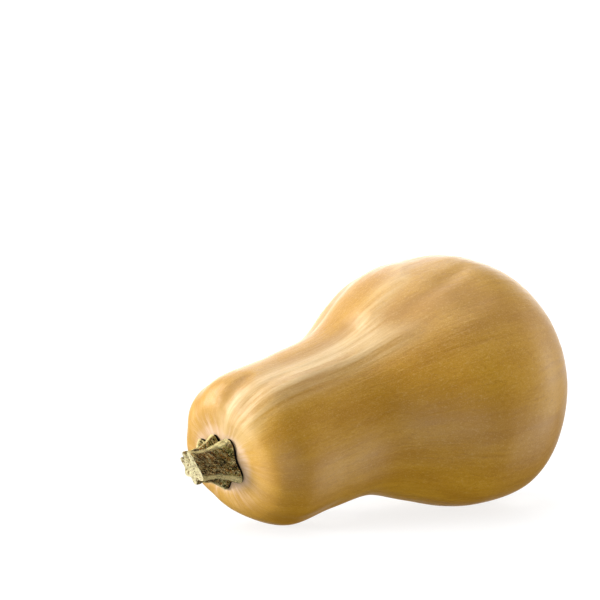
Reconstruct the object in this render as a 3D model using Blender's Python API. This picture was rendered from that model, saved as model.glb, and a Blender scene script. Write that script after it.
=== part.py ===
"""A butternut squash lying on its side: the fruit, with its neck, belly, ribs and furrows, and its stem.

The fruit lies along X, with the stem towards -X and the blossom end towards +X, on the plane Z = 0.
Lengths are in millimetres up to the point where a mesh gets its vertices, and angles are in degrees.
An angle round the fruit or the stem is 0 at the top, 90 at +Y, 180 underneath and -90 at -Y.
"""

import math

import bmesh
import bpy
import numpy as np
from mathutils import Vector

METRES = 0.001

# The fruit's outline, as (distance along the core line, radius) from the stem's seat to the blossom end
SEAT_RADIUS = 15.4
NECK_RADIUS = 43.8
BELLY_RADIUS = 68.4
BELLY_ALONG = 140.0
BODY_LENGTH = 211.0
SCAR_DEPTH = 1.4
PROFILE = (
    (0.0, 0.0),
    (0.0, 8.0),
    (0.0, SEAT_RADIUS),
    (0.3, 22.7),
    (2.0, 28.9),
    (7.6, 36.1),
    (22.0, 43.0),
    (50.0, NECK_RADIUS),
    (79.0, 45.9),
    (106.0, 57.2),
    (127.0, 65.8),
    (BELLY_ALONG, BELLY_RADIUS),
    (168.0, 66.6),
    (190.0, 53.8),
    (205.4, 34.3),
    (210.2, 17.4),
    (BODY_LENGTH, 9.0),
    (BODY_LENGTH - SCAR_DEPTH, 0.0),
)

# Where the core line starts, the steps in which it is added up, and its climb in the neck and in the belly
CORE_START = (-92.5, 0.2, 34.4)
CORE_STEP = 0.5
NECK_CLIMB = 14.85
BELLY_CLIMB = 9.05
BEND_FROM, BEND_TO = 50.0, 130.0

# The neck's end face leans: upwards and to +Y it reaches this much further out, fading along the neck
LEAN_UP, LEAN_SIDE = 0.09, 0.10
LEAN_REACH = 57.0

# The stem's seat is this far above the core line and leans its own way, blending in inside the radius
SEAT_RISE = 2.4
SEAT_LEAN_UP, SEAT_LEAN_SIDE = -0.03, 0.22
SEAT_BLEND_RADIUS = 38.0

# The belly is oval: this share wider along one direction, and as much narrower across it
OVAL_SHARE = 0.08
OVAL_ANGLE = 64.0
OVAL_REACH = 43.0

# Swellings, as (distance along, angle, reach along, reach round in degrees, height), the last one a hollow
SWELLINGS = (
    (113.0, 42.0, 21.0, 55.0, 2.8),
    (169.0, -130.0, 24.0, 55.0, 2.1),
    (8.0, 12.0, 14.0, 38.0, 3.2),
    (143.0, 168.0, 32.0, 24.0, 2.0),
    (7.0, 165.0, 13.0, 50.0, -2.5),
)

# The swellings, furrows and ridges grow to their full height over this distance outside the seat
RELIEF_FADE = 3.5

# Furrows, as (depth, half width, how softly the ends fade, course as (distance along, angle))
FURROWS = (
    (1.7, 4.3, 6.0, ((0, -22), (5, -15), (12, -13), (24, -9))),
    (1.6, 9.5, 8.0, ((3, -30), (12, -28), (23, -23), (45, -16), (77, -15), (92, -12))),
    (0.3, 3.4, 10.0, ((18, -60), (34, -61), (48, -62))),
    (0.6, 6.0, 12.0, ((108, -29), (123, -25), (136, -22), (150, -18), (163, -13))),
    (0.3, 5.6, 12.0, ((130, -45), (155, -40), (175, -35))),
    (0.3, 5.5, 16.0, ((60, -120), (110, -112), (125, -104), (140, -100))),
    (0.9, 6.0, 10.0, ((0, -152), (20, -150), (50, -149))),
    (1.1, 5.0, 12.0, ((0, 22), (30, 27), (75, 25), (120, 31), (160, 34))),
    (0.9, 6.5, 14.0, ((0, 58), (40, 62), (90, 60), (150, 66), (180, 70))),
    (0.7, 6.0, 16.0, ((2, 97), (60, 94), (120, 99), (170, 103))),
    (1.0, 5.5, 12.0, ((0, 137), (35, 133), (85, 138), (130, 135))),
)

# Ridges, in the same form, with a height for the depth
RIDGES = (
    (1.9, 15.0, 12.0, ((18, -32), (33, -36), (47, -41))),
    (0.8, 5.0, 10.0, ((4, -44), (14, -37), (27, -36), (48, -36), (82, -36), (106, -40))),
    (0.4, 2.6, 8.0, ((10, -25), (20, -23), (37, -20), (60, -21), (85, -21))),
    (0.4, 4.3, 10.0, ((85, -21), (100, -13), (112, -7), (128, -1), (140, 10))),
    (0.5, 9.3, 12.0, ((110, -50), (124, -50), (140, -47), (161, -42))),
)

# The stem: how far it dips below the level and turns to +Y, its length, and the gap under its foot
STEM_DIP = 4.0
STEM_TURN = -1.5
STEM_LENGTH = 19.6
SEAT_GAP = 0.3

# The stem's ridges, as (angle at the foot, how far it spreads there, how far it turns towards the cut)
STEM_RIDGES = (
    (-128.0, 15.8, 2.0),
    (-34.0, 16.4, 30.0),
    (6.0, 15.4, 24.0),
    (48.0, 17.2, 15.0),
    (114.0, 15.0, 8.0),
    (178.0, 15.6, -8.0),
)

# The stem's widths, as (distance from the foot, share of the spread, radius at a ridge, radius in a hollow)
STEM_PROFILE = (
    (0.0, 0.97, 10.0, 11.6),
    (1.0, 1.00, 10.0, 11.3),
    (2.6, 0.80, 10.0, 10.2),
    (6.0, 0.36, 9.8, 8.3),
    (10.0, 0.10, 9.4, 7.3),
    (15.0, 0.00, 9.2, 7.0),
    (18.6, 0.00, 9.8, 7.1),
    (STEM_LENGTH, 0.00, 9.4, 6.8),
)
RIDGE_SHARPNESS = 1.1

# The cut across the stem's end: how it slopes to +Y and upwards, and how far its middle is sunk
CUT_SLOPE_SIDE, CUT_SLOPE_UP = -0.02, 0.28
CUT_DISH = 0.8

# The shares of the rows that the cut face and the foot's face take
CUT_ROWS, FOOT_ROWS = 0.18, 0.14

# How many rows and columns of faces each ball has, and how much closer the rows are near the stem
FRUIT_ROWS, FRUIT_COLUMNS = 60, 92
STEM_ROWS, STEM_COLUMNS = 32, 50
ROW_CROWDING = 1.3


def clear_scene():
    for old in list(bpy.data.objects):
        bpy.data.objects.remove(old, do_unlink=True)


def ease(low, high, value):
    """Rises smoothly from 0 at low to 1 at high."""
    share = np.clip((value - low) / (high - low), 0.0, 1.0)
    return share * share * (3.0 - 2.0 * share)


def curve_through(points, steps=16):
    """A smooth curve through the points: a centripetal Catmull-Rom spline."""
    knots = np.array(points, float)
    knots = np.vstack([2 * knots[0] - knots[1], knots, 2 * knots[-1] - knots[-2]])
    found = []
    for before, start, end, after in zip(knots, knots[1:], knots[2:], knots[3:]):
        times = [0.0]
        for a, b in ((before, start), (start, end), (end, after)):
            times.append(times[-1] + math.sqrt(np.linalg.norm(b - a)))
        t0, t1, t2, t3 = times
        now = np.linspace(t1, t2, steps, endpoint=False)[:, None]
        first = (t1 - now) / (t1 - t0) * before + (now - t0) / (t1 - t0) * start
        middle = (t2 - now) / (t2 - t1) * start + (now - t1) / (t2 - t1) * end
        last = (t3 - now) / (t3 - t2) * end + (now - t2) / (t3 - t2) * after
        left = (t2 - now) / (t2 - t0) * first + (now - t0) / (t2 - t0) * middle
        right = (t3 - now) / (t3 - t1) * middle + (now - t1) / (t3 - t1) * last
        found.append((t2 - now) / (t2 - t1) * left + (now - t1) / (t2 - t1) * right)
    found.append(knots[-2][None])
    return np.vstack(found)


def core_line(along):
    """The core line's points, and its unit vectors forward, to +Y and up, at distances along it."""
    fine = np.arange(0.0, BODY_LENGTH + CORE_STEP, CORE_STEP)
    climb = np.radians(NECK_CLIMB + (BELLY_CLIMB - NECK_CLIMB) * ease(BEND_FROM, BEND_TO, fine))
    reach = CORE_STEP * (np.cumsum(np.cos(climb)) - math.cos(climb[0]))
    rise = CORE_STEP * (np.cumsum(np.sin(climb)) - math.sin(climb[0]))
    angle = np.interp(along, fine, climb)
    zero, one = np.zeros_like(along), np.ones_like(along)
    start = np.array(CORE_START)
    point = start + np.stack([np.interp(along, fine, reach), zero, np.interp(along, fine, rise)], -1)
    forward = np.stack([np.cos(angle), zero, np.sin(angle)], -1)
    side = np.stack([zero, one, zero], -1)
    up = np.stack([-np.sin(angle), zero, np.cos(angle)], -1)
    return point, forward, side, up


def angle_between(angle, other):
    """From other to angle, from -180 to 180 degrees."""
    return (angle - other + 180.0) % 360.0 - 180.0


def crease(along, angle, radius, half_width, fade, course):
    """1 along a furrow's or ridge's course and 0 away from it, with soft ends."""
    places, angles = np.array(course, float).T
    across = np.radians(angle_between(angle, np.interp(along, places, angles))) * radius
    ends = ease(places[0] - fade, places[0] + fade / 2, along)
    if places[0] < fade:
        ends = np.ones_like(along)
    ends = ends * (1.0 - ease(places[-1] - fade / 2, places[-1] + fade, along))
    return ends * np.exp(-((across / half_width) ** 2))


def skin_radius(along, angle, radius):
    """The distance of the skin from the core line, for the round profile's radius there."""
    wider = OVAL_SHARE * np.exp(-(((along - BELLY_ALONG) / OVAL_REACH) ** 2))
    found = radius * (1.0 + wider * np.cos(2.0 * np.radians(angle - OVAL_ANGLE)))
    relief = np.zeros_like(found)
    for place, middle, reach, spread, height in SWELLINGS:
        away = ((along - place) / reach) ** 2 + (angle_between(angle, middle) / spread) ** 2
        relief += height * np.exp(-away)
    for depth, half_width, fade, course in FURROWS:
        relief -= depth * crease(along, angle, radius, half_width, fade, course)
    for height, half_width, fade, course in RIDGES:
        relief += height * crease(along, angle, radius, half_width, fade, course)
    # The stem's seat and the middle of the blossom end stay plain
    return found + relief * ease(SEAT_RADIUS, SEAT_RADIUS + RELIEF_FADE, radius)


def skin_points(share, angle):
    """Points of the skin: share runs from 0 at the stem's seat to 1 at the blossom end."""
    outline = curve_through(PROFILE)
    lengths = np.linalg.norm(np.diff(outline, axis=0), axis=1)
    travelled = np.concatenate([[0.0], np.cumsum(lengths)])
    place = travelled[-1] * share**ROW_CROWDING
    along = np.interp(place, travelled, outline[:, 0])
    radius = np.interp(place, travelled, outline[:, 1])
    distance = skin_radius(along, angle, radius)
    turn = np.radians(angle)
    at_seat = np.where(along < BEND_FROM, 1.0 - ease(SEAT_RADIUS, SEAT_BLEND_RADIUS, radius), 0.0)
    upward = distance * np.cos(turn) + SEAT_RISE * at_seat
    sideways = distance * np.sin(turn)
    lean_up = LEAN_UP + (SEAT_LEAN_UP - LEAN_UP) * at_seat
    lean_side = LEAN_SIDE + (SEAT_LEAN_SIDE - LEAN_SIDE) * at_seat
    fade = np.clip(1.0 - along / LEAN_REACH, 0.0, 1.0) ** 2
    lean = -fade * (lean_up * upward + lean_side * sideways)
    point, forward, side, up = core_line(along)
    point = point + lean[..., None] * forward + upward[..., None] * up + sideways[..., None] * side
    # Resting on the ground has flattened the lowest parts of the neck and the belly
    point[..., 2] = np.maximum(point[..., 2], 0.0)
    return point


def stem_radius(along, angle):
    """The distance of the stem's surface from its middle line, from its foot to its cut end."""
    distances, spread_shares, ridge_radii, hollow_radii = np.array(STEM_PROFILE).T
    spread_share = np.interp(along, distances, spread_shares)
    plain_ridge = np.interp(along, distances, ridge_radii)
    hollow = np.interp(along, distances, hollow_radii)
    found = np.zeros_like(along)
    ridges = STEM_RIDGES + STEM_RIDGES[:1]
    for here, there in zip(ridges, ridges[1:]):
        first, second = (foot + turn * along / STEM_LENGTH for foot, _, turn in (here, there))
        gap = (second - first) % 360.0
        past = (angle - first) % 360.0
        phase = np.radians(180.0 * past / gap)
        nearest = np.where(past < gap / 2, here[1], there[1])
        ridge = plain_ridge + (nearest - plain_ridge) * spread_share
        height = np.abs(np.cos(phase)) ** (2.0 * RIDGE_SHARPNESS)
        found = np.where(past < gap, hollow + (ridge - hollow) * height, found)
    return found


def stem_points(share, angle):
    """Points of the stem: share runs from 0 in the middle of the cut to 1 in the middle of the foot."""
    on_side = np.clip((share - CUT_ROWS) / (1.0 - FOOT_ROWS - CUT_ROWS), 0.0, 1.0)
    along = STEM_LENGTH * (1.0 - on_side)
    towards_cut = np.clip(share / CUT_ROWS, 0.0, 1.0)
    towards_foot = np.clip((1.0 - share) / FOOT_ROWS, 0.0, 1.0)
    radius = stem_radius(along, angle) * towards_cut * towards_foot
    turn = np.radians(angle)
    upward, sideways = radius * np.cos(turn), radius * np.sin(turn)

    core, forward, side, up = (found[0] for found in core_line(np.zeros(1)))
    dip, yaw = math.radians(STEM_DIP), math.radians(STEM_TURN)
    out = np.array([-math.cos(dip) * math.cos(yaw), math.cos(dip) * math.sin(yaw), -math.sin(dip)])
    stem_side = np.array([math.sin(yaw), math.cos(yaw), 0.0])
    stem_up = np.cross(stem_side, out)
    facing = -(forward + SEAT_LEAN_UP * up + SEAT_LEAN_SIDE * side)
    facing = facing / np.linalg.norm(facing)
    foot = core + SEAT_RISE * (up - SEAT_LEAN_UP * forward) + SEAT_GAP * facing

    # The foot lies along the leaning seat, and the cut has a slope of its own
    across = upward[..., None] * stem_up + sideways[..., None] * stem_side
    foot_slope = -(across @ facing) / (out @ facing)
    cut_slope = CUT_SLOPE_SIDE * sideways + CUT_SLOPE_UP * upward
    near_cut = along / STEM_LENGTH
    height = along + (1.0 - near_cut) * foot_slope + near_cut * cut_slope
    height = height - CUT_DISH * (1.0 - towards_cut**2)
    return foot + height[..., None] * out + across


def ball(name, rows, columns, points_at):
    """A closed ball of faces, with every vertex moved to points_at(share from pole to pole, angle)."""
    mesh = bpy.data.meshes.new(name)
    shape = bmesh.new()
    bmesh.ops.create_uvsphere(shape, u_segments=columns, v_segments=rows, radius=1.0)
    places = np.array([vertex.co for vertex in shape.verts])
    share = np.arccos(np.clip(places[:, 2], -1.0, 1.0)) / math.pi
    angle = np.degrees(np.arctan2(places[:, 1], places[:, 0]))
    for vertex, point in zip(shape.verts, points_at(share, angle)):
        vertex.co = METRES * Vector(point)
    shape.to_mesh(mesh)
    shape.free()
    mesh.shade_smooth()
    return bpy.data.objects.new(name, mesh)


def make_fruit():
    return ball("fruit", FRUIT_ROWS, FRUIT_COLUMNS, skin_points)


def make_stem():
    return ball("stem", STEM_ROWS, STEM_COLUMNS, stem_points)


def material(name, colour, roughness):
    made = bpy.data.materials.new(name)
    made.use_nodes = True
    shader = made.node_tree.nodes["Principled BSDF"]
    shader.inputs["Base Color"].default_value = (*colour, 1.0)
    shader.inputs["Roughness"].default_value = roughness
    shader.inputs["Metallic"].default_value = 0.0
    return made


def main():
    clear_scene()
    collection = bpy.data.collections.new("butternut_squash")
    bpy.context.scene.collection.children.link(collection)
    fruit, stem = make_fruit(), make_stem()
    fruit.data.materials.append(material("skin", (0.58, 0.36, 0.10), 0.42))
    stem.data.materials.append(material("stem_bark", (0.20, 0.18, 0.07), 0.85))
    for piece in (fruit, stem):
        collection.objects.link(piece)


main()
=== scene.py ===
"""The looks of a butternut squash lying on its side: its skin, its stem, a floor, lights and a camera.

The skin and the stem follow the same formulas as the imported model, with finer faces and finer relief.
Lengths are in millimetres up to the point where a mesh gets its vertices, and angles are in degrees.
An angle round the fruit or the stem is 0 at the top, 90 at +Y, 180 underneath and -90 at -Y.
"""

import math

import bmesh
import bpy
import numpy as np
from mathutils import Matrix, Vector, noise


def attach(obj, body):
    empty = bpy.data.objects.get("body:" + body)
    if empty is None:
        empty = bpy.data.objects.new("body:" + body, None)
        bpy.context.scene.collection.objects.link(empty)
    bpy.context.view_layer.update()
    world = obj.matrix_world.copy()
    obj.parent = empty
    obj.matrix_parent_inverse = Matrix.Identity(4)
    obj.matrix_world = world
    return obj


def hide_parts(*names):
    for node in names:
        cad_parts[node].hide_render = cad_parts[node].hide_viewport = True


METRES = 0.001

# The fruit's outline, as (distance along the core line, radius) from the stem's seat to the blossom end.
# Most of these radii, and most values for the core line, the lean, the oval and the swellings below, are
# the rounded results of a fit to a photograph's outline by another program, and not a design made by hand.
SEAT_RADIUS = 15.4
NECK_RADIUS = 43.8
BELLY_RADIUS = 68.4
BELLY_ALONG = 140.0
BODY_LENGTH = 211.0
SCAR_DEPTH = 1.4
PROFILE = (
    (0.0, 0.0),
    (0.0, 8.0),
    (0.0, SEAT_RADIUS),
    (0.3, 22.7),
    (2.0, 28.9),
    (7.6, 36.1),
    (22.0, 43.0),
    (50.0, NECK_RADIUS),
    (79.0, 45.9),
    (106.0, 57.2),
    (127.0, 65.8),
    (BELLY_ALONG, BELLY_RADIUS),
    (168.0, 66.6),
    (190.0, 53.8),
    (205.4, 34.3),
    (210.2, 17.4),
    (BODY_LENGTH, 9.0),
    (BODY_LENGTH - SCAR_DEPTH, 0.0),
)

# Where the core line starts, the steps in which it is added up, and its climb in the neck and in the belly
CORE_START = (-92.5, 0.2, 34.4)
CORE_STEP = 0.5
NECK_CLIMB = 14.85
BELLY_CLIMB = 9.05
BEND_FROM, BEND_TO = 50.0, 130.0

# The neck's end face leans: upwards and to +Y it reaches this much further out, fading along the neck
LEAN_UP, LEAN_SIDE = 0.09, 0.10
LEAN_REACH = 57.0

# The stem's seat is this far above the core line and leans its own way, blending in inside the radius
SEAT_RISE = 2.4
SEAT_LEAN_UP, SEAT_LEAN_SIDE = -0.03, 0.22
SEAT_BLEND_RADIUS = 38.0

# The belly is oval: this share wider along one direction, and as much narrower across it
OVAL_SHARE = 0.08
OVAL_ANGLE = 64.0
OVAL_REACH = 43.0

# Swellings, as (distance along, angle, reach along, reach round in degrees, height), the last one a hollow
SWELLINGS = (
    (113.0, 42.0, 21.0, 55.0, 2.8),
    (169.0, -130.0, 24.0, 55.0, 2.1),
    (8.0, 12.0, 14.0, 38.0, 3.2),
    (143.0, 168.0, 32.0, 24.0, 2.0),
    (7.0, 165.0, 13.0, 50.0, -2.5),
)

# The swellings, furrows and ridges grow to their full height over this distance outside the seat
RELIEF_FADE = 3.5

# Furrows, as (depth, half width, how softly the ends fade, course as (distance along, angle)).
# The first six, and all the ridges, hold rounded results of a fit to a photograph's contrast as well.
FURROWS = (
    (1.7, 4.3, 6.0, ((0, -22), (5, -15), (12, -13), (24, -9))),
    (1.6, 9.5, 8.0, ((3, -30), (12, -28), (23, -23), (45, -16), (77, -15), (92, -12))),
    (0.3, 3.4, 10.0, ((18, -60), (34, -61), (48, -62))),
    (0.6, 6.0, 12.0, ((108, -29), (123, -25), (136, -22), (150, -18), (163, -13))),
    (0.3, 5.6, 12.0, ((130, -45), (155, -40), (175, -35))),
    (0.3, 5.5, 16.0, ((60, -120), (110, -112), (125, -104), (140, -100))),
    (0.9, 6.0, 10.0, ((0, -152), (20, -150), (50, -149))),
    (1.1, 5.0, 12.0, ((0, 22), (30, 27), (75, 25), (120, 31), (160, 34))),
    (0.9, 6.5, 14.0, ((0, 58), (40, 62), (90, 60), (150, 66), (180, 70))),
    (0.7, 6.0, 16.0, ((2, 97), (60, 94), (120, 99), (170, 103))),
    (1.0, 5.5, 12.0, ((0, 137), (35, 133), (85, 138), (130, 135))),
)

# Ridges, in the same form, with a height for the depth
RIDGES = (
    (1.9, 15.0, 12.0, ((18, -32), (33, -36), (47, -41))),
    (0.8, 5.0, 10.0, ((4, -44), (14, -37), (27, -36), (48, -36), (82, -36), (106, -40))),
    (0.4, 2.6, 8.0, ((10, -25), (20, -23), (37, -20), (60, -21), (85, -21))),
    (0.4, 4.3, 10.0, ((85, -21), (100, -13), (112, -7), (128, -1), (140, 10))),
    (0.5, 9.3, 12.0, ((110, -50), (124, -50), (140, -47), (161, -42))),
)

# Ridges up to this half width are paled by a waxy bloom and a painted highlight, which spread past them and
# have softer ends
CREST_HALF_WIDTH = 6.0
BLOOM_AND_HIGHLIGHT_SPREAD, BLOOM_AND_HIGHLIGHT_FADE = 7.0, 24.0

# Fine relief of the skin, in millimetres: folds that run out from the stem, and shallow dents
FOLD_HEIGHT = 0.22
FOLD_MIDDLE, FOLD_REACH = 21.0, 7.0
FOLD_RISE = 4.0
FOLD_FINENESS = 6.0
DENT_DEPTH = 0.12

# The stem: how far it dips below the level and turns to +Y, its length, and the gap under its foot
STEM_DIP = 4.0
STEM_TURN = -1.5
STEM_LENGTH = 19.6
SEAT_GAP = 0.3

# The stem's ridges, as (angle at the foot, how far it spreads there, how far it turns towards the cut)
STEM_RIDGES = (
    (-128.0, 15.8, 2.0),
    (-34.0, 16.4, 30.0),
    (6.0, 15.4, 24.0),
    (48.0, 17.2, 15.0),
    (114.0, 15.0, 8.0),
    (178.0, 15.6, -8.0),
)

# The stem's widths, as (distance from the foot, share of the spread, radius at a ridge, radius in a hollow)
STEM_PROFILE = (
    (0.0, 0.97, 10.0, 11.6),
    (1.0, 1.00, 10.0, 11.3),
    (2.6, 0.80, 10.0, 10.2),
    (6.0, 0.36, 9.8, 8.3),
    (10.0, 0.10, 9.4, 7.3),
    (15.0, 0.00, 9.2, 7.0),
    (18.6, 0.00, 9.8, 7.1),
    (STEM_LENGTH, 0.00, 9.4, 6.8),
)
RIDGE_SHARPNESS = 1.1

# The cut across the stem's end: how it slopes to +Y and upwards, and how far its middle is sunk
CUT_SLOPE_SIDE, CUT_SLOPE_UP = -0.02, 0.28
CUT_DISH = 0.8

# The shares of the rows that the cut face and the foot's face take
CUT_ROWS, FOOT_ROWS = 0.18, 0.14

# How far the fibres turn from the foot to the cut, and the length that counts as one in the bark's grain
FIBRE_TURN = 15.0
BARK_UNIT = 10.0

# Fine relief of the stem, in millimetres: fissures and lumps on the bark, pits and a roughness in the cut,
# and the undercut round the foot
FISSURE_DEPTH = 0.45
LUMP_HEIGHT = 0.40
PIT_DEPTH = 0.55
CUT_ROUGHNESS = 0.25
UNDERCUT_DEPTH, UNDERCUT_HEIGHT = 0.9, 1.3

# How many rows and columns of faces each ball has, and how much closer the rows are near the stem
SKIN_ROWS, SKIN_COLUMNS = 320, 300
STEM_ROWS, STEM_COLUMNS = 190, 260
ROW_CROWDING = 1.3

# The camera: its azimuth from -Y towards +X, its elevation, its distance and the middle of its view in
# metres, its lens for a 36 mm sensor, and how far it sees. It comes from the fit of the outline too.
CAMERA_AZIMUTH, CAMERA_ELEVATION = -35.7, 7.6
CAMERA_DISTANCE = 1.946
CAMERA_TARGET = (-0.0231, 0.0282, 0.1134)
CAMERA_LENS = 217.36
CAMERA_FAR = 100.0

# The key softbox, which gives the body light, as (azimuth, elevation, power), with the azimuth from +X to +Y
KEY = (154.0, 12.0, 4.5)

# Strip lights that give only a shine, in an arc from low on the left to high behind
SHINES = (
    (137.0, 10.0, 2.0),
    (165.0, 30.0, 1.5),
    (125.0, 35.0, 1.5),
    (118.0, 50.0, 1.0),
    (64.0, 50.0, 0.5),
)
LAMP_WIDTH = 21.0

# The soft glow of the studio, as (azimuth, elevation, strength), and how narrow each patch is
BACK_WALL = (54.0, 8.0, 4.5)
CEILING = (54.0, 88.0, 3.0)
RIGHT_WALL = (344.0, 8.0, 2.5)
RIGHT_SKYLIGHT = (344.0, 38.0, 1.0)
LEFT_SKYLIGHT = (174.0, 65.0, 1.0)
FRONT_SKYLIGHT = (230.0, 60.0, 1.0)
GLOW_NARROWNESS = 12.0

# The light that the pale table throws back: the azimuths of its patches, their elevation and their strength
TABLE_AZIMUTHS = (164.0, 244.0, 324.0)
TABLE_ELEVATION = -25.0
TABLE_GLOW = 2.5

# The floor: half its width in metres, its squares along a side, and how strongly its white glows
FLOOR_REACH = 30.0
FLOOR_SQUARES = 12
FLOOR_GLOW = 0.88

# Colours, as linear red, green and blue
OCHRE = (0.44, 0.208, 0.008, 1.0)
TAN = (0.53, 0.273, 0.015, 1.0)
# Deep ochre for streaks, mottle and pores, and for the painted shade in the furrows
DEEP_OCHRE = (0.35, 0.149, 0.005, 1.0)
BLOOM = (0.70, 0.47, 0.17, 1.0)
# Pale bloom, which on the ridges is also a painted highlight
PALE_BLOOM_AND_HIGHLIGHT = (0.80, 0.62, 0.34, 1.0)
HALO = (0.74, 0.53, 0.36, 1.0)
SCAR_BROWN = (0.20, 0.105, 0.040, 1.0)
BARK_OLIVE = (0.155, 0.125, 0.030, 1.0)
BARK_BROWN = (0.060, 0.038, 0.012, 1.0)
# Pale bark for fibres and specks, and on the ridges' crests also a painted highlight
PALE_BARK_AND_HIGHLIGHT = (0.92, 0.78, 0.36, 1.0)
BARK_GREEN = (0.26, 0.27, 0.050, 1.0)
# Black for specks, and for the painted shadow round the stem's foot
BARK_BLACK = (0.006, 0.004, 0.002, 1.0)
BARK_ORANGE = (0.52, 0.22, 0.040, 1.0)
CUT_CREAM = (0.97, 0.87, 0.52, 1.0)
CUT_BROWN = (0.30, 0.18, 0.050, 1.0)
FLOOR_WHITE = (0.93, 0.93, 0.93, 1.0)
FLOOR_GREY = (0.18, 0.18, 0.18, 1.0)


def ease(low, high, value):
    """Rises smoothly from 0 at low to 1 at high."""
    share = np.clip((value - low) / (high - low), 0.0, 1.0)
    return share * share * (3.0 - 2.0 * share)


def curve_through(points, steps=16):
    """A smooth curve through the points: a centripetal Catmull-Rom spline."""
    knots = np.array(points, float)
    knots = np.vstack([2 * knots[0] - knots[1], knots, 2 * knots[-1] - knots[-2]])
    found = []
    for before, start, end, after in zip(knots, knots[1:], knots[2:], knots[3:]):
        times = [0.0]
        for a, b in ((before, start), (start, end), (end, after)):
            times.append(times[-1] + math.sqrt(np.linalg.norm(b - a)))
        t0, t1, t2, t3 = times
        now = np.linspace(t1, t2, steps, endpoint=False)[:, None]
        first = (t1 - now) / (t1 - t0) * before + (now - t0) / (t1 - t0) * start
        middle = (t2 - now) / (t2 - t1) * start + (now - t1) / (t2 - t1) * end
        last = (t3 - now) / (t3 - t2) * end + (now - t2) / (t3 - t2) * after
        left = (t2 - now) / (t2 - t0) * first + (now - t0) / (t2 - t0) * middle
        right = (t3 - now) / (t3 - t1) * middle + (now - t1) / (t3 - t1) * last
        found.append((t2 - now) / (t2 - t1) * left + (now - t1) / (t2 - t1) * right)
    found.append(knots[-2][None])
    return np.vstack(found)


def core_line(along):
    """The core line's points, and its unit vectors forward, to +Y and up, at distances along it."""
    fine = np.arange(0.0, BODY_LENGTH + CORE_STEP, CORE_STEP)
    climb = np.radians(NECK_CLIMB + (BELLY_CLIMB - NECK_CLIMB) * ease(BEND_FROM, BEND_TO, fine))
    reach = CORE_STEP * (np.cumsum(np.cos(climb)) - math.cos(climb[0]))
    rise = CORE_STEP * (np.cumsum(np.sin(climb)) - math.sin(climb[0]))
    angle = np.interp(along, fine, climb)
    zero, one = np.zeros_like(along), np.ones_like(along)
    start = np.array(CORE_START)
    point = start + np.stack([np.interp(along, fine, reach), zero, np.interp(along, fine, rise)], -1)
    forward = np.stack([np.cos(angle), zero, np.sin(angle)], -1)
    side = np.stack([zero, one, zero], -1)
    up = np.stack([-np.sin(angle), zero, np.cos(angle)], -1)
    return point, forward, side, up


def angle_between(angle, other):
    """From other to angle, from -180 to 180 degrees."""
    return (angle - other + 180.0) % 360.0 - 180.0


def crease(along, angle, radius, half_width, fade, course):
    """1 along a furrow's or ridge's course and 0 away from it, with soft ends."""
    places, angles = np.array(course, float).T
    across = np.radians(angle_between(angle, np.interp(along, places, angles))) * radius
    ends = ease(places[0] - fade, places[0] + fade / 2, along)
    if places[0] < fade:
        ends = np.ones_like(along)
    ends = ends * (1.0 - ease(places[-1] - fade / 2, places[-1] + fade, along))
    return ends * np.exp(-((across / half_width) ** 2))


def skin_outline(share):
    """The distance travelled on the profile, the distance along the core line, and the radius."""
    outline = curve_through(PROFILE)
    lengths = np.linalg.norm(np.diff(outline, axis=0), axis=1)
    travelled = np.concatenate([[0.0], np.cumsum(lengths)])
    place = travelled[-1] * share**ROW_CROWDING
    return place, np.interp(place, travelled, outline[:, 0]), np.interp(place, travelled, outline[:, 1])


def folds_of_skin(along, angle, radius):
    """How far the furrows and ridges raise or sink the skin."""
    relief = np.zeros_like(radius)
    for depth, half_width, fade, course in FURROWS:
        relief -= depth * crease(along, angle, radius, half_width, fade, course)
    for height, half_width, fade, course in RIDGES:
        relief += height * crease(along, angle, radius, half_width, fade, course)
    return relief


def crests_of_skin(along, angle, radius):
    """How near the crest of a narrow ridge the skin is: 1 on a crest, and more where two of them are near."""
    nearness = np.zeros_like(radius)
    for _, half_width, fade, course in RIDGES:
        if half_width <= CREST_HALF_WIDTH:
            nearness += crease(along, angle, radius, half_width + BLOOM_AND_HIGHLIGHT_SPREAD, BLOOM_AND_HIGHLIGHT_FADE, course)
    return nearness


def skin_radius(along, angle, radius):
    """The distance of the skin from the core line, for the round profile's radius there."""
    wider = OVAL_SHARE * np.exp(-(((along - BELLY_ALONG) / OVAL_REACH) ** 2))
    found = radius * (1.0 + wider * np.cos(2.0 * np.radians(angle - OVAL_ANGLE)))
    relief = folds_of_skin(along, angle, radius)
    for place, middle, reach, spread, height in SWELLINGS:
        away = ((along - place) / reach) ** 2 + (angle_between(angle, middle) / spread) ** 2
        relief += height * np.exp(-away)
    # The stem's seat and the middle of the blossom end stay plain
    return found + relief * ease(SEAT_RADIUS, SEAT_RADIUS + RELIEF_FADE, radius)


def skin_points(share, angle):
    """Points of the skin: share runs from 0 at the stem's seat to 1 at the blossom end."""
    _, along, radius = skin_outline(share)
    distance = skin_radius(along, angle, radius)
    turn = np.radians(angle)
    at_seat = np.where(along < BEND_FROM, 1.0 - ease(SEAT_RADIUS, SEAT_BLEND_RADIUS, radius), 0.0)
    upward = distance * np.cos(turn) + SEAT_RISE * at_seat
    sideways = distance * np.sin(turn)
    lean_up = LEAN_UP + (SEAT_LEAN_UP - LEAN_UP) * at_seat
    lean_side = LEAN_SIDE + (SEAT_LEAN_SIDE - LEAN_SIDE) * at_seat
    fade = np.clip(1.0 - along / LEAN_REACH, 0.0, 1.0) ** 2
    lean = -fade * (lean_up * upward + lean_side * sideways)
    point, forward, side, up = core_line(along)
    return point + lean[..., None] * forward + upward[..., None] * up + sideways[..., None] * side


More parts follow.
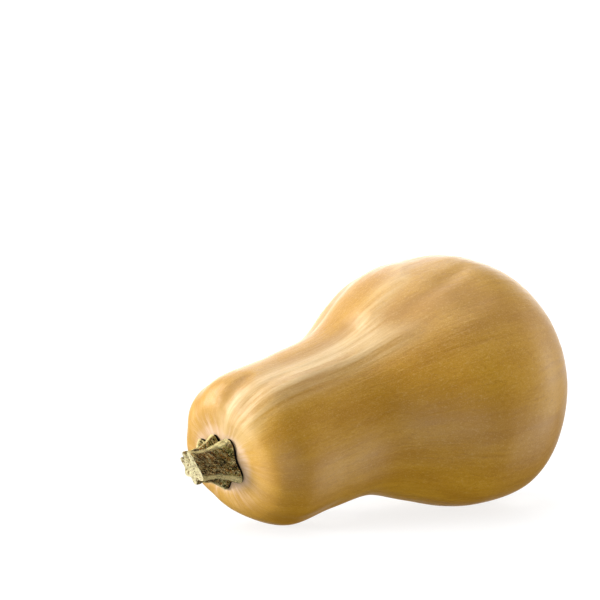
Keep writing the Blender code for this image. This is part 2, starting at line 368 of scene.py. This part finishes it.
def stem_radius(along, angle):
    """The distance of the stem's surface from its middle line, and how near a ridge it is, from 0 to 1."""
    distances, spread_shares, ridge_radii, hollow_radii = np.array(STEM_PROFILE).T
    spread_share = np.interp(along, distances, spread_shares)
    plain_ridge = np.interp(along, distances, ridge_radii)
    hollow = np.interp(along, distances, hollow_radii)
    found = np.zeros_like(along)
    near_ridge = np.zeros_like(along)
    ridges = STEM_RIDGES + STEM_RIDGES[:1]
    for here, there in zip(ridges, ridges[1:]):
        first, second = (foot + turn * along / STEM_LENGTH for foot, _, turn in (here, there))
        gap = (second - first) % 360.0
        past = (angle - first) % 360.0
        phase = np.radians(180.0 * past / gap)
        nearest = np.where(past < gap / 2, here[1], there[1])
        ridge = plain_ridge + (nearest - plain_ridge) * spread_share
        height = np.abs(np.cos(phase)) ** (2.0 * RIDGE_SHARPNESS)
        found = np.where(past < gap, hollow + (ridge - hollow) * height, found)
        near_ridge = np.where(past < gap, height, near_ridge)
    return found, near_ridge


def stem_places(share):
    """The distance from the foot, and the shares of the way out over the cut face and the foot's face.

    The share given runs from 0 in the middle of the cut to 1 in the middle of the foot.
    """
    on_side = np.clip((share - CUT_ROWS) / (1.0 - FOOT_ROWS - CUT_ROWS), 0.0, 1.0)
    towards_cut = np.clip(share / CUT_ROWS, 0.0, 1.0)
    towards_foot = np.clip((1.0 - share) / FOOT_ROWS, 0.0, 1.0)
    return STEM_LENGTH * (1.0 - on_side), towards_cut, towards_foot


def stem_points(share, angle):
    """Points of the stem: share runs from 0 in the middle of the cut to 1 in the middle of the foot."""
    along, towards_cut, towards_foot = stem_places(share)
    radius = stem_radius(along, angle)[0] * towards_cut * towards_foot
    turn = np.radians(angle)
    upward, sideways = radius * np.cos(turn), radius * np.sin(turn)

    core, forward, side, up = (found[0] for found in core_line(np.zeros(1)))
    dip, yaw = math.radians(STEM_DIP), math.radians(STEM_TURN)
    out = np.array([-math.cos(dip) * math.cos(yaw), math.cos(dip) * math.sin(yaw), -math.sin(dip)])
    stem_side = np.array([math.sin(yaw), math.cos(yaw), 0.0])
    stem_up = np.cross(stem_side, out)
    facing = -(forward + SEAT_LEAN_UP * up + SEAT_LEAN_SIDE * side)
    facing = facing / np.linalg.norm(facing)
    foot = core + SEAT_RISE * (up - SEAT_LEAN_UP * forward) + SEAT_GAP * facing

    # The foot lies along the leaning seat, and the cut has a slope of its own
    across = upward[..., None] * stem_up + sideways[..., None] * stem_side
    foot_slope = -(across @ facing) / (out @ facing)
    cut_slope = CUT_SLOPE_SIDE * sideways + CUT_SLOPE_UP * upward
    near_cut = along / STEM_LENGTH
    height = along + (1.0 - near_cut) * foot_slope + near_cut * cut_slope
    height = height - CUT_DISH * (1.0 - towards_cut**2)
    return foot + height[..., None] * out + across


def noise_at(places):
    """Smooth noise from -1 to 1 at each place, the same in every run."""
    return np.array([noise.noise(Vector(place)) for place in places])


def grain_of(place, angle, unit):
    """Coordinates that run with the growth: the distance along the surface, and the direction round it."""
    turn = np.radians(angle)
    return np.stack([place / unit, np.cos(turn), np.sin(turn)], -1)


def ball(name, rows, columns, points_at, relief_at):
    """A closed ball of faces, as an object, with the shares and the angles of its vertices.

    Each vertex is moved to points_at(share, angle), and then out along its normal by relief_at(share, angle).
    """
    mesh = bpy.data.meshes.new(name)
    shape = bmesh.new()
    bmesh.ops.create_uvsphere(shape, u_segments=columns, v_segments=rows, radius=1.0)
    places = np.array([vertex.co for vertex in shape.verts])
    share = np.arccos(np.clip(places[:, 2], -1.0, 1.0)) / math.pi
    angle = np.degrees(np.arctan2(places[:, 1], places[:, 0]))
    shape.to_mesh(mesh)
    shape.free()
    points = points_at(share, angle)
    mesh.vertices.foreach_set("co", points.ravel())
    mesh.update()
    normals = np.empty(len(points) * 3, np.float32)
    mesh.vertex_normals.foreach_get("vector", normals)
    points = points + relief_at(share, angle)[:, None] * normals.reshape(-1, 3)
    # Nothing reaches below the ground that the fruit lies on
    points[:, 2] = np.maximum(points[:, 2], 0.0)
    mesh.vertices.foreach_set("co", (METRES * points).ravel())
    mesh.update()
    mesh.shade_smooth()
    made = bpy.data.objects.new(name, mesh)
    bpy.context.scene.collection.objects.link(made)
    return made, share, angle


def store(piece, name, kind, values):
    """Keeps a value for each vertex, for the piece's material to read."""
    attribute = piece.data.attributes.new(name, kind, "POINT")
    field = "vector" if kind == "FLOAT_VECTOR" else "value"
    attribute.data.foreach_set(field, np.asarray(values, np.float32).ravel())


def skin_relief(share, angle):
    """Fine relief of the skin: folds that run out from the stem, and long shallow dents."""
    place, _, radius = skin_outline(share)
    grain = grain_of(place, angle, BELLY_RADIUS)
    folds = noise_at(grain * (2.0, FOLD_FINENESS, FOLD_FINENESS))
    near_stem = np.exp(-(((place - FOLD_MIDDLE) / FOLD_REACH) ** 2))
    near_stem = near_stem * ease(SEAT_RADIUS, SEAT_RADIUS + FOLD_RISE, radius)
    dents = noise_at(grain * (1.3, 3.2, 3.2) + 7.0) + 0.5 * noise_at(grain * (3.0, 8.0, 8.0) + 19.0)
    plain_ends = ease(SEAT_RADIUS, SEAT_BLEND_RADIUS, radius)
    return FOLD_HEIGHT * folds * near_stem + DENT_DEPTH * dents * plain_ends


def stem_relief(share, angle):
    """Fine relief of the stem: fissures and lumps on the bark, pits in the cut, and the undercut foot."""
    along, towards_cut, towards_foot = stem_places(share)
    grain = grain_of(along, angle - FIBRE_TURN * along / STEM_LENGTH, BARK_UNIT)
    fissures = np.abs(noise_at(grain * (0.9, 5.5, 5.5)))
    lumps = noise_at(grain * (3.2, 3.2, 3.2) + 5.0)
    bark = LUMP_HEIGHT * lumps - FISSURE_DEPTH * (1.0 - np.clip(fissures * 5.0, 0.0, 1.0))
    turn = np.radians(angle)
    across = np.stack([towards_cut * np.cos(turn), towards_cut * np.sin(turn), np.full_like(turn, 3.0)], -1)
    pits = -PIT_DEPTH * ease(0.05, 0.5, noise_at(across * 4.5)) + CUT_ROUGHNESS * noise_at(across * 11.0)
    on_bark = ease(0.0, 0.16, share - CUT_ROWS) * ease(0.0, 0.5, towards_foot) * (towards_foot >= 1.0)
    on_cut = 1.0 - ease(0.72, 0.90, towards_cut)
    on_foot = (towards_foot >= 1.0) * (1.0 - ease(0.3 * UNDERCUT_HEIGHT, UNDERCUT_HEIGHT, along))
    return on_bark * bark + on_cut * pits - UNDERCUT_DEPTH * on_foot


class Look:
    """A material whose nodes are added one by one. Each method returns the new node's output socket."""

    def __init__(self, name):
        self.material = bpy.data.materials.new(name)
        self.material.use_nodes = True
        self.nodes = self.material.node_tree.nodes
        self.links = self.material.node_tree.links
        self.shader = self.nodes["Principled BSDF"]

    def feed(self, socket, value):
        if isinstance(value, bpy.types.NodeSocket):
            self.links.new(value, socket)
        else:
            socket.default_value = value

    def node(self, kind, inputs, output=0, **settings):
        made = self.nodes.new(kind)
        for name, value in settings.items():
            setattr(made, name, value)
        for key, value in inputs.items():
            self.feed(made.inputs[key], value)
        return made.outputs[output]

    def attribute(self, name, output):
        return self.node("ShaderNodeAttribute", {}, output, attribute_name=name)

    def stretched(self, vector, factors):
        return self.node("ShaderNodeVectorMath", {0: vector, 1: factors}, operation="MULTIPLY")

    def noise(self, vector, scale, detail=2.0, roughness=0.5):
        inputs = {"Vector": vector, "Scale": scale, "Detail": detail, "Roughness": roughness}
        return self.node("ShaderNodeTexNoise", inputs)

    def cells(self, vector, scale, output="Color"):
        """Rounded cells, each with a colour drawn by lot, or the distance from their middles."""
        return self.node("ShaderNodeTexVoronoi", {"Vector": vector, "Scale": scale}, output)

    def ramp(self, value, low, high, start=0.0, end=1.0):
        """Rises smoothly from start, where value is low, to end, where it is high."""
        inputs = {"Value": value, "From Min": low, "From Max": high, "To Min": start, "To Max": end}
        return self.node("ShaderNodeMapRange", inputs, interpolation_type="SMOOTHSTEP")

    def math(self, operation, first, second):
        return self.node("ShaderNodeMath", {0: first, 1: second}, operation=operation)

    def mix(self, share, first, second):
        """From the first colour, where share is 0, to the second, where it is 1."""
        return self.node("ShaderNodeMix", {0: share, 6: first, 7: second}, 2, data_type="RGBA")

    def bump(self, height, distance, strength=1.0, normal=None):
        inputs = {"Height": height, "Distance": distance, "Strength": strength}
        if normal is not None:
            inputs["Normal"] = normal
        return self.node("ShaderNodeBump", inputs)

    def finish(self, **values):
        """Gives the shader's sockets their values, named with underscores for spaces."""
        for name, value in values.items():
            self.feed(self.shader.inputs[name.replace("_", " ")], value)
        return self.material


def skin_look(total_travel):
    """Waxy tan skin: soft blotches, streaks along the fruit, fine speckle, and pale rays round the stem."""
    look = Look("squash_skin")
    grain = look.attribute("grain", "Vector")
    folds = look.attribute("folds", "Fac")
    crests = look.attribute("crests", "Fac")
    travel = look.node("ShaderNodeSeparateXYZ", {0: grain}, "X")

    blotches = look.noise(look.stretched(grain, (0.55, 1.0, 1.0)), 2.1, 3.0)
    long_streaks = look.noise(look.stretched(grain, (0.10, 1.0, 1.0)), 11.0, 4.0, 0.6)
    fine_streaks = look.noise(look.stretched(grain, (0.06, 1.0, 1.0)), 46.0, 3.0, 0.6)
    mottle = look.noise(look.stretched(grain, (0.7, 1.0, 1.0)), 38.0, 3.0, 0.75)
    speckle = look.noise(grain, 92.0, 2.0, 0.7)
    dots = look.cells(grain, 52.0, "Distance")

    colour = look.mix(look.ramp(blotches, 0.36, 0.66), OCHRE, TAN)
    colour = look.mix(look.ramp(long_streaks, 0.52, 0.70, 0.0, 0.35), colour, TAN)
    colour = look.mix(look.ramp(long_streaks, 0.48, 0.30, 0.0, 0.30), colour, DEEP_OCHRE)
    colour = look.mix(look.ramp(fine_streaks, 0.50, 0.32, 0.0, 0.20), colour, DEEP_OCHRE)
    colour = look.mix(look.ramp(mottle, 0.49, 0.32, 0.0, 0.42), colour, DEEP_OCHRE)
    colour = look.mix(look.ramp(mottle, 0.54, 0.72, 0.0, 0.25), colour, BLOOM)
    colour = look.mix(look.ramp(speckle, 0.53, 0.70, 0.0, 0.30), colour, BLOOM)
    colour = look.mix(look.ramp(speckle, 0.46, 0.30, 0.0, 0.25), colour, DEEP_OCHRE)
    colour = look.mix(look.ramp(dots, 0.16, 0.05, 0.0, 0.25), colour, DEEP_OCHRE)
    # Painted shade: the furrows are darkened towards deep ochre, where shade falls in them
    colour = look.mix(look.ramp(folds, -0.1, -1.2, 0.0, 0.35), colour, DEEP_OCHRE)

    # A waxy bloom pales the ridges and the skin near the stem; on the ridges the paleness is also a painted
    # highlight
    streaked = look.ramp(long_streaks, 0.36, 0.62, 0.22, 0.62)
    bloom_and_highlight_share = look.math("MULTIPLY", look.ramp(crests, 0.1, 1.7), streaked)
    colour = look.mix(bloom_and_highlight_share, colour, PALE_BLOOM_AND_HIGHLIGHT)
    colour = look.mix(look.ramp(travel, 0.75, 0.30, 0.0, 0.26), colour, BLOOM)

    # A pale ring lies round the stem, and pale rays run out from it, mostly above and below
    upwards = look.math("ABSOLUTE", look.node("ShaderNodeSeparateXYZ", {0: grain}, "Y"), 0.0)
    rays = look.noise(look.stretched(grain, (0.35, 1.0, 1.0)), 9.0, 5.0, 0.75)
    ray_share = look.math("MULTIPLY", look.ramp(travel, 0.50, 0.24), look.ramp(rays, 0.44, 0.68, 0.0, 0.6))
    ray_share = look.math("MULTIPLY", ray_share, look.ramp(upwards, 0.3, 0.9, 0.35, 1.0))
    colour = look.mix(ray_share, colour, HALO)
    ring_rays = look.ramp(rays, 0.30, 0.60, 0.25, 0.75)
    ring_share = look.math("MULTIPLY", look.ramp(travel, 0.31, 0.235), ring_rays)
    colour = look.mix(ring_share, colour, HALO)

    # The blossom's scar
    scar_noise = look.noise(grain, 30.0, 3.0)
    from_scar = look.math("SUBTRACT", total_travel, travel)
    ragged = look.math("ADD", from_scar, look.ramp(scar_noise, 0.3, 0.7, -0.03, 0.03))
    colour = look.mix(look.ramp(ragged, 0.13, 0.07, 0.0, 0.85), colour, SCAR_BROWN)

    height = look.math("ADD", look.math("MULTIPLY", fine_streaks, 0.6), look.math("MULTIPLY", mottle, 0.6))
    soft = look.bump(long_streaks, 0.0004, 0.6)
    normal = look.bump(height, 0.0004, 0.6, soft)
    roughness = look.ramp(long_streaks, 0.3, 0.7, 0.35, 0.45)
    return look.finish(
        Base_Color=colour,
        Roughness=roughness,
        Normal=normal,
        Specular_IOR_Level=0.5,
    )


def stem_look():
    """Dry bark: olive to brown with pale crests that are partly a painted highlight, dark and yellow specks,
    a painted shadow round the foot, and a cream cut with pits.
    """
    look = Look("squash_stem")
    grain = look.attribute("grain", "Vector")
    crest = look.attribute("crest", "Fac")
    cut = look.attribute("cut", "Fac")
    travel = look.node("ShaderNodeSeparateXYZ", {0: grain}, "X")

    patches = look.noise(look.stretched(grain, (0.6, 1.0, 1.0)), 3.2, 4.0, 0.6)
    fibres = look.noise(look.stretched(grain, (0.25, 1.0, 1.0)), 16.0, 4.0, 0.65)
    drift = look.noise(grain, 14.0, 2.0)
    cells = look.cells(look.node("ShaderNodeVectorMath", {0: grain, 1: drift}), 12.0)
    lottery = look.node("ShaderNodeSeparateColor", {0: cells}, "Red")
    second_lottery = look.node("ShaderNodeSeparateColor", {0: cells}, "Green")

    colour = look.mix(look.ramp(patches, 0.40, 0.60), BARK_BROWN, BARK_OLIVE)
    colour = look.mix(look.ramp(travel, 1.0, 0.2, 0.0, 0.75), colour, BARK_GREEN)
    colour = look.mix(look.ramp(fibres, 0.50, 0.68, 0.0, 0.55), colour, PALE_BARK_AND_HIGHLIGHT)
    colour = look.mix(look.ramp(lottery, 0.56, 0.44, 0.0, 0.95), colour, BARK_BLACK)
    colour = look.mix(look.ramp(second_lottery, 0.76, 0.84, 0.0, 0.85), colour, BARK_ORANGE)
    colour = look.mix(look.ramp(lottery, 0.78, 0.84, 0.0, 0.95), colour, PALE_BARK_AND_HIGHLIGHT)
    # The crests of the ridges are paled: partly pale bark, partly a painted highlight
    broken = look.ramp(lottery, 0.10, 0.30, 0.35, 1.0)
    crest_highlight_share = look.math("MULTIPLY", look.ramp(crest, 0.80, 0.97), broken)
    colour = look.mix(crest_highlight_share, colour, PALE_BARK_AND_HIGHLIGHT)
    # Painted shadow: a black band round the foot's edge, where the joint with the fruit lies in shade
    colour = look.mix(look.ramp(travel, 0.13, 0.07), colour, BARK_BLACK)

    pits = look.cells(grain, 9.0)
    pit_lottery = look.node("ShaderNodeSeparateColor", {0: pits}, "Red")
    cut_noise = look.noise(grain, 7.0, 4.0, 0.6)
    cut_colour = look.mix(look.ramp(cut_noise, 0.48, 0.32, 0.0, 0.6), CUT_CREAM, CUT_BROWN)
    cut_colour = look.mix(look.ramp(pit_lottery, 0.24, 0.14, 0.0, 0.9), cut_colour, CUT_BROWN)
    colour = look.mix(look.ramp(cut, 0.3, 0.7), colour, cut_colour)

    normal = look.bump(fibres, 0.0010, 0.9, look.bump(lottery, 0.0006, 0.8))
    return look.finish(
        Base_Color=colour,
        Roughness=look.ramp(patches, 0.3, 0.7, 0.75, 0.95),
        Normal=normal,
        Specular_IOR_Level=0.15,
    )


def dress(piece, look, node):
    piece.data.materials.append(look)
    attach(piece, "root")
    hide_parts(node)


def make_skin():
    piece, share, angle = ball("squash_skin", SKIN_ROWS, SKIN_COLUMNS, skin_points, skin_relief)
    place, along, radius = skin_outline(share)
    store(piece, "grain", "FLOAT_VECTOR", grain_of(place, angle, BELLY_RADIUS))
    store(piece, "folds", "FLOAT", folds_of_skin(along, angle, radius))
    store(piece, "crests", "FLOAT", crests_of_skin(along, angle, radius))
    dress(piece, skin_look(place.max() / BELLY_RADIUS), "fruit")


def make_stem():
    piece, share, angle = ball("squash_stem", STEM_ROWS, STEM_COLUMNS, stem_points, stem_relief)
    along, towards_cut, towards_foot = stem_places(share)
    fibres = angle - FIBRE_TURN * along / STEM_LENGTH
    grain = grain_of(along, fibres, BARK_UNIT) * np.stack([towards_foot, towards_cut, towards_cut], -1)
    store(piece, "grain", "FLOAT_VECTOR", grain)
    store(piece, "crest", "FLOAT", stem_radius(along, angle)[1])
    store(piece, "cut", "FLOAT", 1.0 - ease(0.97, 1.0, towards_cut))
    dress(piece, stem_look(), "stem")


def make_floor():
    mesh = bpy.data.meshes.new("floor")
    shape = bmesh.new()
    bmesh.ops.create_grid(shape, x_segments=FLOOR_SQUARES, y_segments=FLOOR_SQUARES, size=FLOOR_REACH)
    shape.to_mesh(mesh)
    shape.free()
    floor = bpy.data.objects.new("floor", mesh)
    bpy.context.scene.collection.objects.link(floor)
    look = Look("floor_paint")
    place = look.node("ShaderNodeTexCoord", {}, "Object")
    mottle = look.noise(place, 40.0, 3.0)
    roughness = look.ramp(mottle, 0.3, 0.7, 0.75, 0.9)
    paint = look.finish(
        Base_Color=FLOOR_GREY,
        Roughness=roughness,
        Emission_Color=FLOOR_WHITE,
        Emission_Strength=FLOOR_GLOW,
    )
    mesh.materials.append(paint)
    # The glow from below stands in for the light that the table throws back
    floor.visible_glossy = False
    floor.visible_diffuse = False
    floor.visible_shadow = False


def direction(azimuth, elevation):
    """A unit vector, with azimuth counted from +X to +Y."""
    turn, climb = math.radians(azimuth), math.radians(elevation)
    return Vector((math.cos(climb) * math.cos(turn), math.cos(climb) * math.sin(turn), math.sin(climb)))


def make_lamp(name, azimuth, elevation, power, body_light):
    """A far softbox, which lights the body of things or only gives them a shine."""
    light = bpy.data.lights.new(name, "SUN")
    light.angle = math.radians(LAMP_WIDTH)
    light.energy = power
    lamp = bpy.data.objects.new(name, light)
    away = direction(azimuth, elevation)
    lamp.location = away
    lamp.rotation_euler = away.to_track_quat("Z", "Y").to_euler()
    lamp.visible_diffuse = body_light
    lamp.visible_glossy = not body_light
    bpy.context.scene.collection.objects.link(lamp)


def make_lamps():
    make_lamp("key", *KEY, body_light=True)
    for number, shine in enumerate(SHINES):
        make_lamp(f"shine_{number}", *shine, body_light=False)


def make_glow():
    """Soft patches of light from all round, added up in the world's shader."""
    world = bpy.data.worlds.new("studio")
    world.use_nodes = True
    nodes, links = world.node_tree.nodes, world.node_tree.links
    towards = nodes.new("ShaderNodeTexCoord").outputs["Generated"]
    total = None
    table = [(azimuth, TABLE_ELEVATION, TABLE_GLOW) for azimuth in TABLE_AZIMUTHS]
    room = [BACK_WALL, CEILING, RIGHT_WALL, RIGHT_SKYLIGHT, LEFT_SKYLIGHT, FRONT_SKYLIGHT]
    for azimuth, elevation, strength in room + table:
        facing = nodes.new("ShaderNodeVectorMath")
        facing.operation = "DOT_PRODUCT"
        facing.inputs[1].default_value = direction(azimuth, elevation)
        links.new(towards, facing.inputs[0])
        bounded = nodes.new("ShaderNodeMath")
        bounded.operation = "MAXIMUM"
        links.new(facing.outputs["Value"], bounded.inputs[0])
        bounded.inputs[1].default_value = 0.0
        narrowed = nodes.new("ShaderNodeMath")
        narrowed.operation = "POWER"
        links.new(bounded.outputs[0], narrowed.inputs[0])
        narrowed.inputs[1].default_value = GLOW_NARROWNESS
        added = nodes.new("ShaderNodeMath")
        added.operation = "MULTIPLY_ADD"
        links.new(narrowed.outputs[0], added.inputs[0])
        added.inputs[1].default_value = strength
        if total is not None:
            links.new(total, added.inputs[2])
        else:
            added.inputs[2].default_value = 0.0
        total = added.outputs[0]
    links.new(total, nodes["Background"].inputs["Strength"])
    nodes["Background"].inputs["Color"].default_value = (1.0, 1.0, 1.0, 1.0)
    bpy.context.scene.world = world


def make_camera():
    turn, climb = math.radians(CAMERA_AZIMUTH), math.radians(CAMERA_ELEVATION)
    back = Vector((math.sin(turn) * math.cos(climb), -math.cos(turn) * math.cos(climb), math.sin(climb)))
    right = Vector((math.cos(turn), math.sin(turn), 0.0))
    up = back.cross(right)
    lens = bpy.data.cameras.new("camera")
    lens.lens = CAMERA_LENS
    lens.clip_end = CAMERA_FAR
    camera = bpy.data.objects.new("camera", lens)
    camera.matrix_world = Matrix.Translation(Vector(CAMERA_TARGET) + CAMERA_DISTANCE * back) @ Matrix(
        (right, up, back)
    ).transposed().to_4x4()
    bpy.context.scene.collection.objects.link(camera)
    bpy.context.scene.camera = camera


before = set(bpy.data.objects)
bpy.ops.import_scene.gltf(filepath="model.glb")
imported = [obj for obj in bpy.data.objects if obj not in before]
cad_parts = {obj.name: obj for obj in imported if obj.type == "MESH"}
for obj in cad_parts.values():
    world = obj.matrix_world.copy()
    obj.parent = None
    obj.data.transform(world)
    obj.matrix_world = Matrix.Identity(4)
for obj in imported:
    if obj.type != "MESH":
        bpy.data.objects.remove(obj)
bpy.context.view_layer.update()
make_skin()
make_stem()
make_floor()
make_lamps()
make_glow()
make_camera()
bpy.context.scene.view_settings.view_transform = "Standard"
bpy.context.scene.cycles.use_denoising = True
